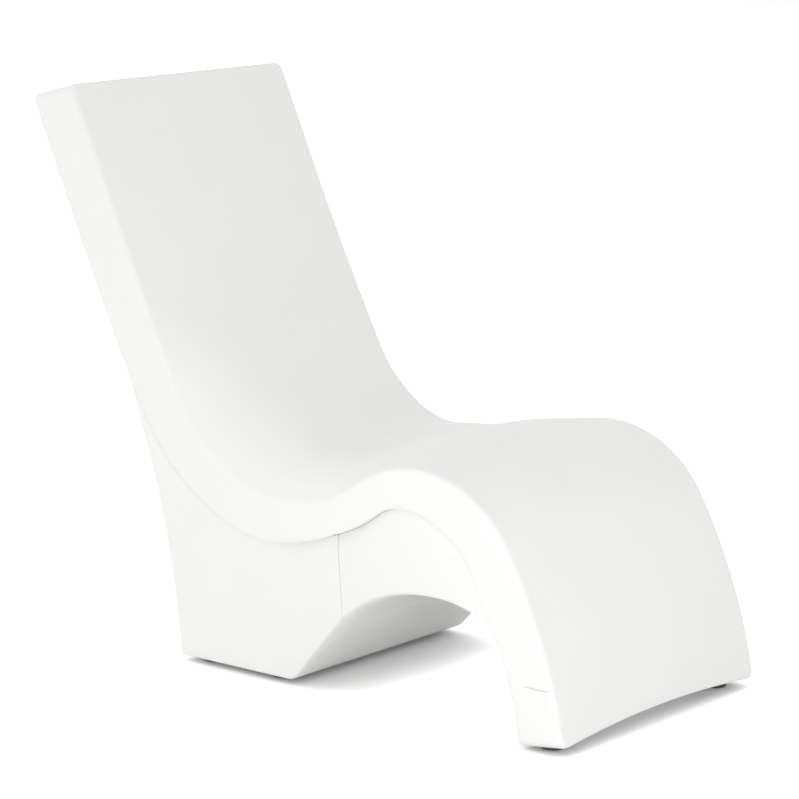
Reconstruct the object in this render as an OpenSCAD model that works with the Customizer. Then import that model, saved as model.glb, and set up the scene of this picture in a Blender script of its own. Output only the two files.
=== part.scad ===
// Spa lounger: one hollow S-shaped slab on a water-ballasted pedestal, with an arched web under
// the knees. X is the width, the feet point to -Y, Z is up and the floor is at zero.

/* [Slab] */
// Width of the slab
slab_w = 600; // [540:5:680]
// Thickness of the slab at the leg
slab_t = 96; // [90:1:100]
// Thickness of the slab's sides behind the knees
waist_t = 70; // [66:1:80]
// Thickness of the slab at the back
back_t = 109; // [100:1:114]
// Wall of the moulded shells
wall = 6; // [4:0.5:8]
// Radius of the slab's upper edges
edge_r = 12; // [8:1:16]
// Radius of the slab's lower edges
under_r = 9; // [7:1:14]
// Radius of the corners at the head and at the toe
corner_r = 18; // [12:1:30]

/* [Side line of the slab, from the toe up] */
// Angle of the shin at the toe, from the floor
toe_angle = 79.9; // [78:0.1:82]
// Radius of the shin's long bow
shin_r = 1000; // [900:10:1200]
// Angle that the shin turns through
shin_angle = 20.4; // [19:0.1:22]
// Radius of the knee roll
knee_r = 238; // [225:1:255]
// Angle that the knee roll turns through
knee_angle = 95; // [92:0.5:98]
// Radius of the seat's hollow
seat_r = 284; // [270:1:300]
// Angle that the seat's hollow turns through
seat_angle = 97; // [95:0.5:99]
// Length of the lower back
back_len = 415; // [380:5:450]
// Angle that the lower back turns through
back_angle = 4; // [2:0.5:6]
// Length of the upper back, which is straight
head_len = 220; // [180:5:260]
// Height of the head's rear edge over a square end, along the slab
head_lean = 20; // [10:1:24]
// Height of the toe's front edge over the floor
toe_z = 15; // [14:1:18]
// Height of the sole's rear edge over the floor
toe_stand = 3; // [2:0.5:4]
// Slope of the sole, which stands on its rear edge
sole_tilt = 7; // [5:0.5:9]
// Height of the shallow arch in the sole
sole_bow = 16; // [10:1:18]
// Where the slab starts to thin behind the knees, from the toe
waist_from = 478; // [460:2:490]
// Length over which it thins
waist_in = 240; // [220:5:260]
// Length that stays thin
waist_len = 105; // [90:5:140]
// Length over which it thickens again
waist_out = 200; // [180:5:220]
// Where the slab thickens again towards the back, from the toe
back_from = 1050; // [1045:5:1080]
// Length over which it thickens there
back_in = 290; // [260:5:320]

/* [Crown of the seat] */
// Height of the crown over the slab's rims
crown_h = 76; // [60:1:80]
// How square the crown is across the width
crown_power = 5; // [4:0.5:6]
// Length over which the crown rises on the knee roll
crown_front = 310; // [280:5:330]
// Length of the full crown in the seat
crown_full = 215; // [180:5:230]
// Length over which the crown runs out into the back
crown_rear = 390; // [350:5:400]
// Where the crown starts past the end of the shin
crown_start = 225; // [200:5:240]

/* [Pedestal] */
// Height of the pedestal over the floor
stand = 10; // [8:0.5:12]
// Length along the slab at which the pedestal's rear edge ends
ped_top_s = 1307; // [1280:1:1335]
// Thickness of the pedestal's upper rear edge
ped_lip = 6; // [5:0.5:9]
// Distance of the pedestal's side in from the slab's side at the upper rear edge
ped_top_in = 2; // [1:0.5:6]
// Distance of the pedestal's side in from the slab's side at the floor
ped_foot_in = 50; // [40:1:60]
// Distance of the pedestal's rear face in front of the head's rear edge
ped_rear_in = 326; // [318:1:334]
// Height of the upright part of the rear face
ped_rear_h = 40; // [30:2:60]
// Depth of the pedestal at the floor
ped_depth = 282; // [270:2:300]
// Radius of the pedestal's lower front edge
ped_round = 35; // [20:1:45]
// Distance of the seam in front of the pedestal's rear face
seam_in = 412; // [400:1:420]
// Height of the seam's lower end
seam_z = 144; // [136:1:152]
// Gap in the seams between the shells
seam_gap = 0.6; // [0.4:0.1:1]

/* [Arch] */
// Height of the arch's crest
arch_z = 236; // [228:1:242]
// Distance of the arch's crest in front of the knee roll's crest
arch_crest_in = 47; // [40:1:56]
// Length along the slab, from the toe, at which the arch ends
arch_s = 232; // [217:1:247]
// Distance of the arch's side in from the slab's side at its front end
arch_side_in = 1; // [0.5:0.5:4]

/* [Shell bolts] */
// Diameter of the shell bolts
bolt_d = 10; // [8:1:12]
// Width of the bolt heads across flats
bolt_af = 16; // [15:1:18]
// Height of the bolt heads
bolt_head_h = 6.4; // [5:0.1:8]
// Length of the pedestal bolts under the head
ped_bolt_len = 50; // [46:1:54]
// Length of the arch bolts under the head
arch_bolt_len = 36; // [32:1:40]
// Length of the thread that an insert holds
bolt_grip = 17; // [14:1:20]
// Diameter of the washers
washer_d = 28; // [24:1:32]
// Thickness of the washers
washer_t = 2.5; // [2:0.1:3]
// Diameter of the moulded-in bolt inserts
insert_d = 18; // [16:1:20]
// Length of the moulded-in bolt inserts
insert_len = 26; // [22:1:30]
// Diameter of the flanges under the bolt heads
bolt_flange_d = 21; // [20:0.5:22]
// Inner diameter of the bolt tunnels
tunnel_d = 46; // [42:1:50]
// Distance of the pedestal bolts from the middle
bolt_x = 110; // [100:5:125]
// Distance of the front row of pedestal bolts behind the pedestal's front edge
bolt_front_in = 60; // [56:1:66]
// Distance between the two rows of pedestal bolts
bolt_row_gap = 120; // [110:2:128]
// Distance of the outer arch bolts from the middle
arch_bolt_x = 180; // [150:5:200]

/* [Ballast plugs] */
// Diameter of the plugs' threads
plug_d = 38; // [32:1:42]
// Length of the plugs' threads
plug_len = 20; // [16:1:24]
// Diameter of the plugs' flanges
flange_d = 62; // [58:1:68]
// Thickness of the plugs' flanges
flange_t = 6; // [5:0.5:7]
// Thickness of the plugs' gaskets
gasket_t = 2.5; // [2:0.1:3]
// Height of the fill plug
fill_z = 336; // [316:2:346]
// Height of the drain plug
drain_z = 70; // [68:1:74]
// Diameter of the pocket round each plug
pocket_d = 100; // [94:1:106]
// Depth of that pocket in the pedestal's rear face
pocket_deep = 15; // [15:1:18]
// Width of the plugs' finger bars
grip_w = 9; // [7:0.5:12]
// Height of the finger bars over the flanges
grip_h = 6; // [4:0.5:6]

/* [Vent plugs] */
// Diameter of the vent plugs' shanks
vent_d = 12; // [10:0.5:14]
// Length of the vent plugs' shanks
vent_len = 10; // [8:0.5:12]
// Diameter of the vent plugs' heads
vent_head_d = 18; // [16:0.5:20]
// Thickness of the vent plugs' heads
vent_head_t = 2; // [1.5:0.1:2.5]

/* [Pads] */
// Diameter of the pedestal's rubber pads
pad_d = 50; // [44:1:56]
// Diameter of the toe's rubber pads
toe_pad_d = 40; // [34:1:46]
// Depth of the pads' pockets
pad_in = 7; // [6:0.5:9]
// Diameter of the pad screws
screw_d = 6; // [5:1:7]
// Length of the pad screws
screw_len = 20; // [16:1:24]
// Diameter of the pad screws' heads
screw_head_d = 12; // [11:0.5:13]
// Height of the pad screws' heads
screw_head_h = 3.5; // [3:0.1:4]
// Distance of the pedestal pads in from the pedestal's sides
pad_edge = 48; // [42:1:56]
// Distance of the toe pads in from the slab's sides
toe_pad_edge = 48; // [40:1:60]
// Distance of the toe pads in front of the sole's rear edge
toe_pad_in = 38; // [34:1:44]
// Thickness of the pads over the screws' heads
screw_seat = 4; // [3:0.5:5]

/* [Hidden] */
$fn = 64;

// Fits and clearances
fit = 0.05;
loose = 0.5;
cut = slab_t / 2;

// Segments of the slab's upper side line, from the toe up: length and turn
function arc_len(r, a) = r * a * PI / 180;
SEGMENTS = [
    [arc_len(shin_r, shin_angle), -shin_angle],
    [arc_len(knee_r, knee_angle), -knee_angle],
    [arc_len(seat_r, seat_angle), seat_angle],
    [back_len, back_angle],
    [head_len, 0]
];
function lengths(i) = i < 0 ? 0 : SEGMENTS[i][0] + lengths(i - 1);
path_len = lengths(len(SEGMENTS) - 1);
knee_s = lengths(0);
seat_s = lengths(1);
back_s = lengths(2);

// A pose is [y, z, heading]; advance() moves it along an arc of a length and a turn
function advance(p, s, a) =
    let (c = a == 0 ? s : s * sin(a / 2) / (a / 2 * PI / 180))
    [p[0] + c * cos(p[2] + a / 2), p[1] + c * sin(p[2] + a / 2), p[2] + a];
function segment_pose(i, p0) =
    i == 0 ? p0 : advance(segment_pose(i - 1, p0), SEGMENTS[i - 1][0], SEGMENTS[i - 1][1]);
function pose_from(p0, s, i = 0) =
    (s <= SEGMENTS[i][0] || i == len(SEGMENTS) - 1)
    ? advance(segment_pose(i, p0), s, SEGMENTS[i][1] * s / SEGMENTS[i][0])
    : pose_from(p0, s - SEGMENTS[i][0], i + 1);
// A point at a height over the slab's upper line, on the sitter's side
function over(p, v) = [p[0] - v * sin(p[2]), p[1] + v * cos(p[2])];

// Thickness of the slab's sides at a station
function smooth(t) = let (u = min(1, max(0, t))) u * u * (3 - 2 * u);
waist_end = waist_from + waist_in + waist_len;
function thick(s) =
    slab_t + (back_t - slab_t) * smooth((s - back_from) / back_in)
    - (slab_t - waist_t) * smooth((s - waist_from) / waist_in) * (1 - smooth((s - waist_end) / waist_out));
function under(s, gap = 0) = over(pose(s), -thick(s) - gap);

// The toe's place puts the middle of the whole length at Y zero
path_end = pose_from([0, toe_z, toe_angle], path_len);
path_depth = over(path_end, -thick(path_len))[0] + head_lean * cos(path_end[2]);
toe_y = -path_depth / 2;
head_y = path_depth / 2;
function pose(s) = pose_from([toe_y, toe_z, toe_angle], s);

// Stations along the slab, closer where it bends and at its rounded ends
below = slab_t / 3;
corner_steps = 4;
step_angle = 6.5;
function steps(i) = max(3, ceil(abs(SEGMENTS[i][1]) / step_angle));
STATIONS = concat(
    [-below, 0],
    [for (k = [1:corner_steps]) corner_r * (1 - cos(90 * k / corner_steps))],
    [for (i = [0:len(SEGMENTS) - 1], k = [1:steps(i)])
        let (s = lengths(i - 1) + SEGMENTS[i][0] * k / steps(i))
        if (s < path_len - 2 * corner_r && s > 2 * corner_r) s],
    [for (k = [corner_steps:-1:0]) path_len - corner_r * (1 - cos(90 * k / corner_steps))]
);

// Half width of the slab, which is rounded off at both ends
function corner_in(d) = d >= corner_r ? 0 : corner_r - sqrt(max(0, corner_r ^ 2 - (corner_r - d) ^ 2));
function half_w(s) = slab_w / 2 - corner_in(max(0, s)) - corner_in(max(0, path_len - s));

// Height of the crown at a station
crown_s = knee_s + crown_start;
function crown(s) =
    crown_h * smooth((s - crown_s) / crown_front)
    * (1 - smooth((s - crown_s - crown_front - crown_full) / crown_rear));

// Section across the slab: [x, height] points, counterclockwise, drawn in by an inset
round_steps = 3;
top_steps = 16;
function corner(x, v, r, a) =
    [for (k = [0:round_steps]) [x + r * cos(a + 90 * k / round_steps), v + r * sin(a + 90 * k / round_steps)]];
function section(s, inset) =
    let (
        w = half_w(s) - inset,
        rt = max(edge_r - inset, wall / 2),
        rb = max(under_r - inset, wall / 2),
        flat = w - rt,
        bottom = -thick(s) + inset
    )
    concat(
        corner(flat, -inset - rt, rt, 0),
        [for (k = [1:top_steps - 1])
            let (share = cos(180 * k / top_steps))
            [flat * share, -inset + crown(s) * (1 - abs(share) ^ crown_power)]],
        corner(-flat, -inset - rt, rt, 90),
        corner(-(w - rb), bottom + rb, rb, 180),
        corner(w - rb, bottom + rb, rb, 270)
    );

// How far the underside runs ahead of the upper side, towards the head
function lean(s) = head_lean * smooth((s - path_len + head_len) / head_len);

// A closed skin through the sections at some stations
module loft(stations, inset) {
    rings = [for (s = stations)
        let (p = pose(s))
        [for (q = section(s, inset))
            let (o = over(p, q[1]) + lean(s) * max(0, -q[1]) / thick(s) * [cos(p[2]), sin(p[2])])
            [q[0], o[0], o[1]]]];
    n = len(rings[0]);
    m = len(rings);
    points = [for (ring = rings, p = ring) p];
    sides = [for (i = [0:m - 2], k = [0:n - 1])
        let (a = i * n + k, b = i * n + (k + 1) % n)
        each [[a, b, a + n], [b, b + n, a + n]]];
    start_cap = [[for (k = [n - 1:-1:0]) k]];
    end_cap = [[for (k = [0:n - 1]) (m - 1) * n + k]];
    polyhedron(points, concat(sides, start_cap, end_cap), convexity = 10);
}

// Crest of the knee roll, and the slab's underside between knees and back as [y, z]
knee_top = pose(knee_s + arc_len(knee_r, toe_angle - shin_angle));
UNDERSIDE = [for (s = STATIONS) if (s > knee_s && s < ped_top_s) under(s)];
// The highest that the underside comes over a disc
function roof(y, d) = max([for (k = [-1:0.5:1]) lookup(y + k * d / 2, UNDERSIDE)]);

// The pedestal's rear face: upright, then an arc out to its upper edge
ped_rear_y = head_y - ped_rear_in;
ped_front_y = ped_rear_y - ped_depth;
seam_y = ped_rear_y - seam_in;
ped_tip = under(ped_top_s, seam_gap + ped_lip);
function arc_r(d, h) = (d ^ 2 + h ^ 2) / (2 * d);
ped_rear_r = arc_r(ped_tip[0] - ped_rear_y, ped_tip[1] - ped_rear_h);
function rear_y(z) = ped_rear_y + (z < ped_rear_h ? 0 : ped_rear_r - sqrt(ped_rear_r ^ 2 - (z - ped_rear_h) ^ 2));
// Half width of the pedestal at a height
ped_foot_x = slab_w / 2 - ped_foot_in;
ped_top_x = slab_w / 2 - ped_top_in;
function ped_x(z) = ped_foot_x + (ped_top_x - ped_foot_x) * (z - stand) / (ped_tip[1] - stand);

// The arch's crest, and its front end on the slab's underside
arch_top = [knee_top[0] - arch_crest_in, arch_z];
arch_foot = under(arch_s, seam_gap);

// The sole's rear edge, which stands nearest the floor
sole_y = under(0)[0];

// Bolts: [x, y] places, the roof of each tunnel and the foot of each insert
insert_cover = wall / 3;
ped_stack = ped_bolt_len - washer_t - bolt_grip;
arch_stack = arch_bolt_len - washer_t - bolt_grip;
PED_ROWS = [for (k = [0, 1]) ped_front_y + bolt_front_in + bolt_row_gap * k];
PED_BOLTS = [for (x = [-bolt_x, bolt_x], y = PED_ROWS) [x, y, roof(y, insert_d) + insert_cover]];
ARCH_BOLTS = [for (x = [-arch_bolt_x, 0, arch_bolt_x]) [x, knee_top[0], roof(knee_top[0], insert_d) + insert_cover]];
boss_d = insert_d + 3 * wall;
bolt_hole_d = bolt_d + 2 * loose;

// Plugs: the floor of the pocket, and what is built on it
bush_d = plug_d + 2 * wall;
bush_len = plug_len + wall / 2;
function pocket_y(z) = rear_y(z - pocket_d / 2) - pocket_deep;

// Pads: [x, y] places and the roofs of their pockets
pad_roof = stand + pad_in;
toe_roof = toe_stand + pad_in + sole_bow;
pad_insert_d = screw_d + wall / 2;
pad_insert_len = screw_len - screw_seat;
pad_boss_d = pad_insert_d + 2 * wall;
PED_PADS = [for (x = [-1, 1], y = [ped_front_y + bolt_front_in, ped_rear_y - pad_edge])
    [x * (ped_foot_x - pad_edge), y]];
TOE_PADS = [for (x = [-1, 1]) [x * (slab_w / 2 - toe_pad_edge), sole_y - toe_pad_in]];

// Vent plugs, on the back of the head and in the arch
vent_s = path_len - 4 * corner_r;
vent_x = arch_bolt_x / 2;

// One thing at each [x, y] or [x, y, z] place, raised by a height
module at(places, dz = 0) {
    for (p = places) translate([p[0], p[1], (len(p) > 2 ? p[2] : 0) + dz]) children();
}

// A disc with a bore right through it
module ring(d_out, d_in, h) {
    difference() {
        cylinder(d = d_out, h = h);
        translate([0, 0, -h]) cylinder(d = d_in, h = 3 * h);
    }
}

// Puts something drawn along +Z at a plug's place, pointing out of the rear face
module at_plug(z) {
    translate([0, pocket_y(z), z]) rotate([-90, 0, 0]) children();
}

// Puts something drawn along +Z on the slab's rear face, pointing out of it
module at_slab_vent() {
    o = under(vent_s);
    translate([0, o[0], o[1]]) rotate([180 + pose(vent_s)[2], 0, 0]) children();
}

// Extrudes a profile drawn in [y, z] across a half width to each side
module across(half) {
    rotate([90, 0, 90]) translate([0, 0, -half]) linear_extrude(2 * half) children();
}

// Points of an arc that rounds the corner b between a and c
function unit(v) = v / norm(v);
function fillet(a, b, c, r, n = 6) =
    let (
        u = unit(a - b), w = unit(c - b), half = acos(u * w) / 2,
        m = b + unit(u + w) * r / sin(half),
        p = b + u * r / tan(half) - m, q = b + w * r / tan(half) - m,
        a0 = atan2(p[1], p[0]), turn = (atan2(q[1], q[0]) - a0 + 540) % 360 - 180
    )
    [for (k = [0:n]) m + r * [cos(a0 + turn * k / n), sin(a0 + turn * k / n)]];

// The part of the slab's side profile that the shells under it keep clear of
module slab_band() {
    polygon(concat(
        [for (s = STATIONS) under(s, seam_gap)],
        [for (k = [len(STATIONS) - 1:-1:0]) over(pose(STATIONS[k]), -slab_t / 4)]
    ));
}
// Points along the middle of the slab, from one place to another, from the toe up
function slab_middle(s0, s1) =
    [for (s = concat([s0], [for (t = STATIONS) if (t > s0 && t < s1) t], [s1])) over(pose(s), -slab_t / 2)];
seam_s = lookup(seam_y, [for (s = STATIONS) if (s > knee_s && s < ped_top_s) [over(pose(s), -slab_t / 2)[0], s]]);

module pedestal_profile() {
    seam_foot = [seam_y, seam_z];
    front = [ped_front_y, stand];
    rear = [ped_rear_y, stand];
    rear_steps = 12;
    middle = slab_middle(seam_s, ped_top_s);
    difference() {
        polygon(concat(
            [seam_foot],
            fillet(seam_foot, front, rear, ped_round),
            fillet(front, rear, [ped_rear_y, ped_rear_h], edge_r),
            [for (k = [0:rear_steps])
                let (z = ped_rear_h + (ped_tip[1] - ped_rear_h) * k / rear_steps) [rear_y(z), z]],
            [for (k = [len(middle) - 1:-1:0]) middle[k]]
        ));
        slab_band();
    }
}

// Front view of the pedestal: its sides draw in towards the floor
module pedestal_front(inset) {
    top = ped_tip[1] + slab_t;
    polygon([
        [-ped_x(stand) + inset, stand + inset], [ped_x(stand) - inset, stand + inset],
        [ped_x(top) - inset, top], [-ped_x(top) + inset, top]
    ]);
}
module pedestal_solid(inset) {
    intersection() {
        across(slab_w / 2) if (inset > 0) offset(delta = -inset) pedestal_profile(); else pedestal_profile();
        translate([0, ped_tip[0] + cut, 0]) rotate([90, 0, 0])
            linear_extrude(ped_tip[0] + 2 * cut - seam_y) pedestal_front(inset);
    }
}

module arch_profile() {
    seam_foot = [seam_y - seam_gap, seam_z];
    arc_steps = 12;
    // an arc of the given rise from the crest to an end
    function arch_z_at(y, end) =
        let (r = arc_r(arch_top[1] - end[1], abs(end[0] - arch_top[0])))
        arch_top[1] - r + sqrt(r ^ 2 - (y - arch_top[0]) ^ 2);
    function arch_arc(a, b, end) =
        [for (k = [0:arc_steps]) let (y = a + (b - a) * k / arc_steps) [y, arch_z_at(y, end)]];
    difference() {
        polygon(concat(
            arch_arc(seam_foot[0], arch_top[0], seam_foot),
            arch_arc(arch_top[0], arch_foot[0], arch_foot),
            slab_middle(arch_s, seam_s - seam_gap)
        ));
        slab_band();
        translate([seam_y - seam_gap, 0]) square([slab_t, 2 * slab_w]);
    }
}
// The arch's sides run from the pedestal's draft at the seam out to the slab's side
module arch_sides(inset) {
    low = seam_z;
    high = knee_top[1];
    flush = slab_w / 2 - arch_side_in - inset;
    skin = seam_gap;
    hull() {
        translate([0, seam_y, 0]) rotate([90, 0, 0]) linear_extrude(skin) polygon([
            [-ped_x(low) + inset, low], [ped_x(low) - inset, low],
            [ped_x(high) - inset, high], [-ped_x(high) + inset, high]
        ]);
        translate([-flush, arch_foot[0] - skin, low]) cube([2 * flush, skin, high - low]);
    }
}
module arch_solid(inset) {
    intersection() {
        across(slab_w / 2) if (inset > 0) offset(delta = -inset) arch_profile(); else arch_profile();
        arch_sides(inset);
    }
}

module lounge_outer() {
    difference() {
        loft(STATIONS, 0);
        // the sole slopes up from its rear edge to the front
        translate([0, sole_y, toe_stand]) rotate([-sole_tilt, 0, 0])
            translate([-slab_w, -2 * slab_t, -4 * slab_t]) cube([2 * slab_w, 4 * slab_t, 4 * slab_t]);
        // a shallow arch across the sole
        translate([0, sole_y, toe_stand]) rotate([-sole_tilt, 0, 0])
            translate([0, slab_t, sole_bow - arc_r(sole_bow, slab_w / 2)])
                rotate([90, 0, 0]) cylinder(r = arc_r(sole_bow, slab_w / 2), h = 3 * slab_t, $fn = 720);
    }
}
cavity_s = toe_roof + 3 * wall;
CAVITY = concat(
    [cavity_s],
    [for (s = STATIONS) if (s > cavity_s + wall && s < path_len - 2 * wall) s],
    [path_len - wall]
);

module lounge_shell() color("white") {
    difference() {
        lounge_outer();
        difference() {
            loft(CAVITY, wall);
            // posts that hold the inserts
            at(PED_BOLTS, -insert_len) cylinder(d = boss_d, h = 2 * insert_len + wall);
            at(ARCH_BOLTS, -insert_len) cylinder(d = boss_d, h = 2 * insert_len + wall);
            at(TOE_PADS) cylinder(d = pad_boss_d, h = toe_roof + pad_insert_len + wall);
            at_slab_vent() translate([0, 0, -vent_len - wall]) cylinder(d = vent_head_d, h = vent_len + wall);
        }
        at(concat(PED_BOLTS, ARCH_BOLTS)) cylinder(d = insert_d + 2 * fit, h = insert_len);
        at(concat(PED_BOLTS, ARCH_BOLTS), -cut) cylinder(d = bolt_hole_d, h = cut + insert_len);
        at(TOE_PADS, -cut) cylinder(d = toe_pad_d + 2 * fit, h = cut + toe_roof);
        at(TOE_PADS) cylinder(d = pad_insert_d + 2 * fit, h = toe_roof + pad_insert_len);
        at_slab_vent() translate([0, 0, -vent_len]) cylinder(d = vent_d + 2 * fit, h = 2 * vent_len);
    }
}

module pedestal_shell() color("white") {
    difference() {
        pedestal_solid(0);
        difference() {
            pedestal_solid(wall);
            at(PED_BOLTS, -ped_stack - slab_w) cylinder(d = tunnel_d + 2 * wall, h = slab_w + wall);
            at(PED_BOLTS, -ped_stack) cylinder(d = tunnel_d + 2 * wall, h = ped_stack);
            at(PED_PADS) cylinder(d = pad_d + 2 * wall, h = pad_roof + wall);
            at(PED_PADS) cylinder(d = pad_boss_d, h = pad_roof + pad_insert_len + wall);
            for (z = [fill_z, drain_z]) at_plug(z) {
                translate([0, 0, -wall]) cylinder(d = pocket_d + 2 * wall, h = slab_t);
                translate([0, 0, -bush_len - wall / 2]) cylinder(d = bush_d + 2 * wall, h = bush_len + wall);
            }
        }
        at(PED_BOLTS, -ped_stack - slab_w) cylinder(d = tunnel_d, h = slab_w);
        at(PED_BOLTS, -ped_stack - cut) cylinder(d = bolt_hole_d, h = ped_stack + 2 * cut);
        at(PED_PADS, -cut) cylinder(d = pad_d + 2 * fit, h = cut + pad_roof);
        at(PED_PADS) cylinder(d = pad_insert_d + 2 * fit, h = pad_roof + pad_insert_len);
        for (z = [fill_z, drain_z]) at_plug(z) {
            cylinder(d = pocket_d, h = slab_t);
            translate([0, 0, -bush_len]) cylinder(d = bush_d + 2 * fit, h = bush_len + cut);
            translate([0, 0, -bush_len - wall]) cylinder(d = plug_d, h = bush_len);
        }
    }
}

module arch_shell() color("white") {
    vent = [vent_x, arch_top[0], arch_top[1]];
    difference() {
        arch_solid(0);
        difference() {
            arch_solid(wall);
            at(ARCH_BOLTS, -arch_stack - slab_w) cylinder(d = tunnel_d + 2 * wall, h = slab_w + wall);
            at(ARCH_BOLTS, -arch_stack) cylinder(d = tunnel_d + 2 * wall, h = arch_stack);
            at([vent]) cylinder(d = vent_head_d + 2 * wall, h = vent_head_t + vent_len + wall);
        }
        at(ARCH_BOLTS, -arch_stack - slab_w) cylinder(d = tunnel_d, h = slab_w);
        at(ARCH_BOLTS, -arch_stack - cut) cylinder(d = bolt_hole_d, h = arch_stack + 2 * cut);
        at([vent], -cut) cylinder(d = vent_d + 2 * fit, h = cut + vent_head_t + vent_len);
        at([vent], -cut) cylinder(d = vent_head_d + 2 * loose, h = cut + vent_head_t);
    }
}
// A hex bolt that points up, with its head under zero
module hex_bolt(length) {
    cylinder(d = bolt_d, h = length);
    translate([0, 0, -bolt_head_h]) cylinder(d = bolt_af / cos(30), h = bolt_head_h, $fn = 6);
    translate([0, 0, -washer_t]) cylinder(d = bolt_flange_d, h = washer_t);
}
// A push-in cap with its face down, to lie in a tunnel's mouth
module tunnel_cap() {
    cylinder(d = tunnel_d - 2 * fit, h = wall / 2);
    ring(tunnel_d - 2 * fit, tunnel_d - wall, 2 * wall);
}
// A bush with a bore for the plug, its face at zero
module bush() {
    translate([0, 0, -bush_len]) ring(bush_d, plug_d + 2 * fit, bush_len);
}
module gasket() {
    ring(flange_d - wall, plug_d + 2 * fit, gasket_t);
}
// A threaded plug with a finger bar across its face
module plug() {
    grip_len = flange_d - 2 * flange_t;
    translate([0, 0, gasket_t - plug_len]) cylinder(d = plug_d, h = plug_len);
    translate([0, 0, gasket_t]) cylinder(d = flange_d, h = flange_t);
    translate([-grip_len / 2, -grip_w / 2, gasket_t + flange_t / 2])
        cube([grip_len, grip_w, flange_t / 2 + grip_h]);
}
module vent_plug() {
    translate([0, 0, -vent_len]) cylinder(d = vent_d, h = vent_len);
    cylinder(d = vent_head_d, h = vent_head_t);
}
module pad(d, roof) {
    difference() {
        cylinder(d = d, h = roof);
        translate([0, 0, -cut]) cylinder(d = screw_d + 2 * loose, h = 2 * cut + roof);
        translate([0, 0, -cut]) cylinder(d = screw_head_d + 2 * loose, h = cut + roof - screw_seat);
    }
}
// A pan-head screw that points up, with its head's seat at zero
module pad_screw() {
    cylinder(d = screw_d, h = screw_len);
    translate([0, 0, -screw_head_h]) cylinder(d = screw_head_d, h = screw_head_h);
}

module pedestal_bolts() color("silver") at(PED_BOLTS, -ped_stack - washer_t) hex_bolt(ped_bolt_len);
module pedestal_washers() color("silver") at(PED_BOLTS, -ped_stack - washer_t) ring(washer_d, bolt_hole_d, washer_t);
module pedestal_inserts() color("goldenrod") at(PED_BOLTS) ring(insert_d, bolt_d + 2 * fit, insert_len);
module arch_bolts() color("silver") at(ARCH_BOLTS, -arch_stack - washer_t) hex_bolt(arch_bolt_len);
module arch_washers() color("silver") at(ARCH_BOLTS, -arch_stack - washer_t) ring(washer_d, bolt_hole_d, washer_t);
module arch_inserts() color("goldenrod") at(ARCH_BOLTS) ring(insert_d, bolt_d + 2 * fit, insert_len);
module pedestal_tunnel_caps() color("white") for (p = PED_BOLTS) translate([p[0], p[1], stand]) tunnel_cap();
module arch_tunnel_caps() color("white") for (p = ARCH_BOLTS) translate([p[0], p[1], arch_z]) tunnel_cap();
module fill_bush() color("gray") at_plug(fill_z) bush();
module fill_gasket() color("dimgray") at_plug(fill_z) gasket();
module fill_plug() color("white") at_plug(fill_z) plug();
module drain_bush() color("gray") at_plug(drain_z) bush();
module drain_gasket() color("dimgray") at_plug(drain_z) gasket();
module drain_plug() color("white") at_plug(drain_z) plug();
module slab_vent_plug() color("white") at_slab_vent() vent_plug();
module arch_vent_plug() color("white") translate([vent_x, arch_top[0], arch_top[1] + vent_head_t])
    rotate([180, 0, 0]) vent_plug();
module pedestal_pads() color("gray") at(PED_PADS) pad(pad_d, pad_roof);
module toe_pads() color("gray") at(TOE_PADS) pad(toe_pad_d, toe_roof);
module pad_screws() color("silver") {
    at(PED_PADS, pad_roof - screw_seat) pad_screw();
    at(TOE_PADS, toe_roof - screw_seat) pad_screw();
}
module pad_inserts() color("goldenrod") {
    at(PED_PADS, pad_roof) ring(pad_insert_d, screw_d + 2 * fit, pad_insert_len);
    at(TOE_PADS, toe_roof) ring(pad_insert_d, screw_d + 2 * fit, pad_insert_len);
}

lounge_shell();
pedestal_shell();
arch_shell();
pedestal_bolts();
pedestal_washers();
pedestal_inserts();
arch_bolts();
arch_washers();
arch_inserts();
pedestal_tunnel_caps();
arch_tunnel_caps();
fill_bush();
fill_gasket();
fill_plug();
drain_bush();
drain_gasket();
drain_plug();
slab_vent_plug();
arch_vent_plug();
pedestal_pads();
toe_pads();
pad_screws();
pad_inserts();
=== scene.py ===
import math

import bpy
from bpy.props import FloatProperty, FloatVectorProperty, PointerProperty
from mathutils import Matrix, Vector


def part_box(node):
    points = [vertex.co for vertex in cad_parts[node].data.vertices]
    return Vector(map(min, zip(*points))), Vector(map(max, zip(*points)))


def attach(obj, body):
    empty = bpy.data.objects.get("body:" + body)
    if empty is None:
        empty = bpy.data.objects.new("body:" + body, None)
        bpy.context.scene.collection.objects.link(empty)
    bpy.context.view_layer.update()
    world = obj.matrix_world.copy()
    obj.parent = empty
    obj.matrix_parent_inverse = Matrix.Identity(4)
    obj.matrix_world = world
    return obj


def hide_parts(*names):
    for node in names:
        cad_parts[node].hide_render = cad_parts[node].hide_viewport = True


bl_info = {
    "name": "Spa relaxation lounger",
    "version": (1, 0, 0),
    "blender": (4, 5, 0),
    "location": "View3D > Sidebar > Lounger",
    "description": "Builds a rotomoulded in-water lounger with its pedestal, web, plugs and pads",
    "category": "Add Mesh",
}

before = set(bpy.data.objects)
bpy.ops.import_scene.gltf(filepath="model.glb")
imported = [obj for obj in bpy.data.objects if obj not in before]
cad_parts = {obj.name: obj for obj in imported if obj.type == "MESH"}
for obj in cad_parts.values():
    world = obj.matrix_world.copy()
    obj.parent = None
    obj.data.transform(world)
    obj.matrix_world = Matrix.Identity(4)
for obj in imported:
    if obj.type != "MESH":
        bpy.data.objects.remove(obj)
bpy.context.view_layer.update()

WELD = 0.00002
CHAIR = "chair"


# Sizes and finishes that a user would change
def length(default, name, text):
    return FloatProperty(name=name, description=text, default=default, unit="LENGTH", precision=4)


def turn(default, name, text):
    return FloatProperty(name=name, description=text, default=math.radians(default), subtype="ANGLE")


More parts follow.
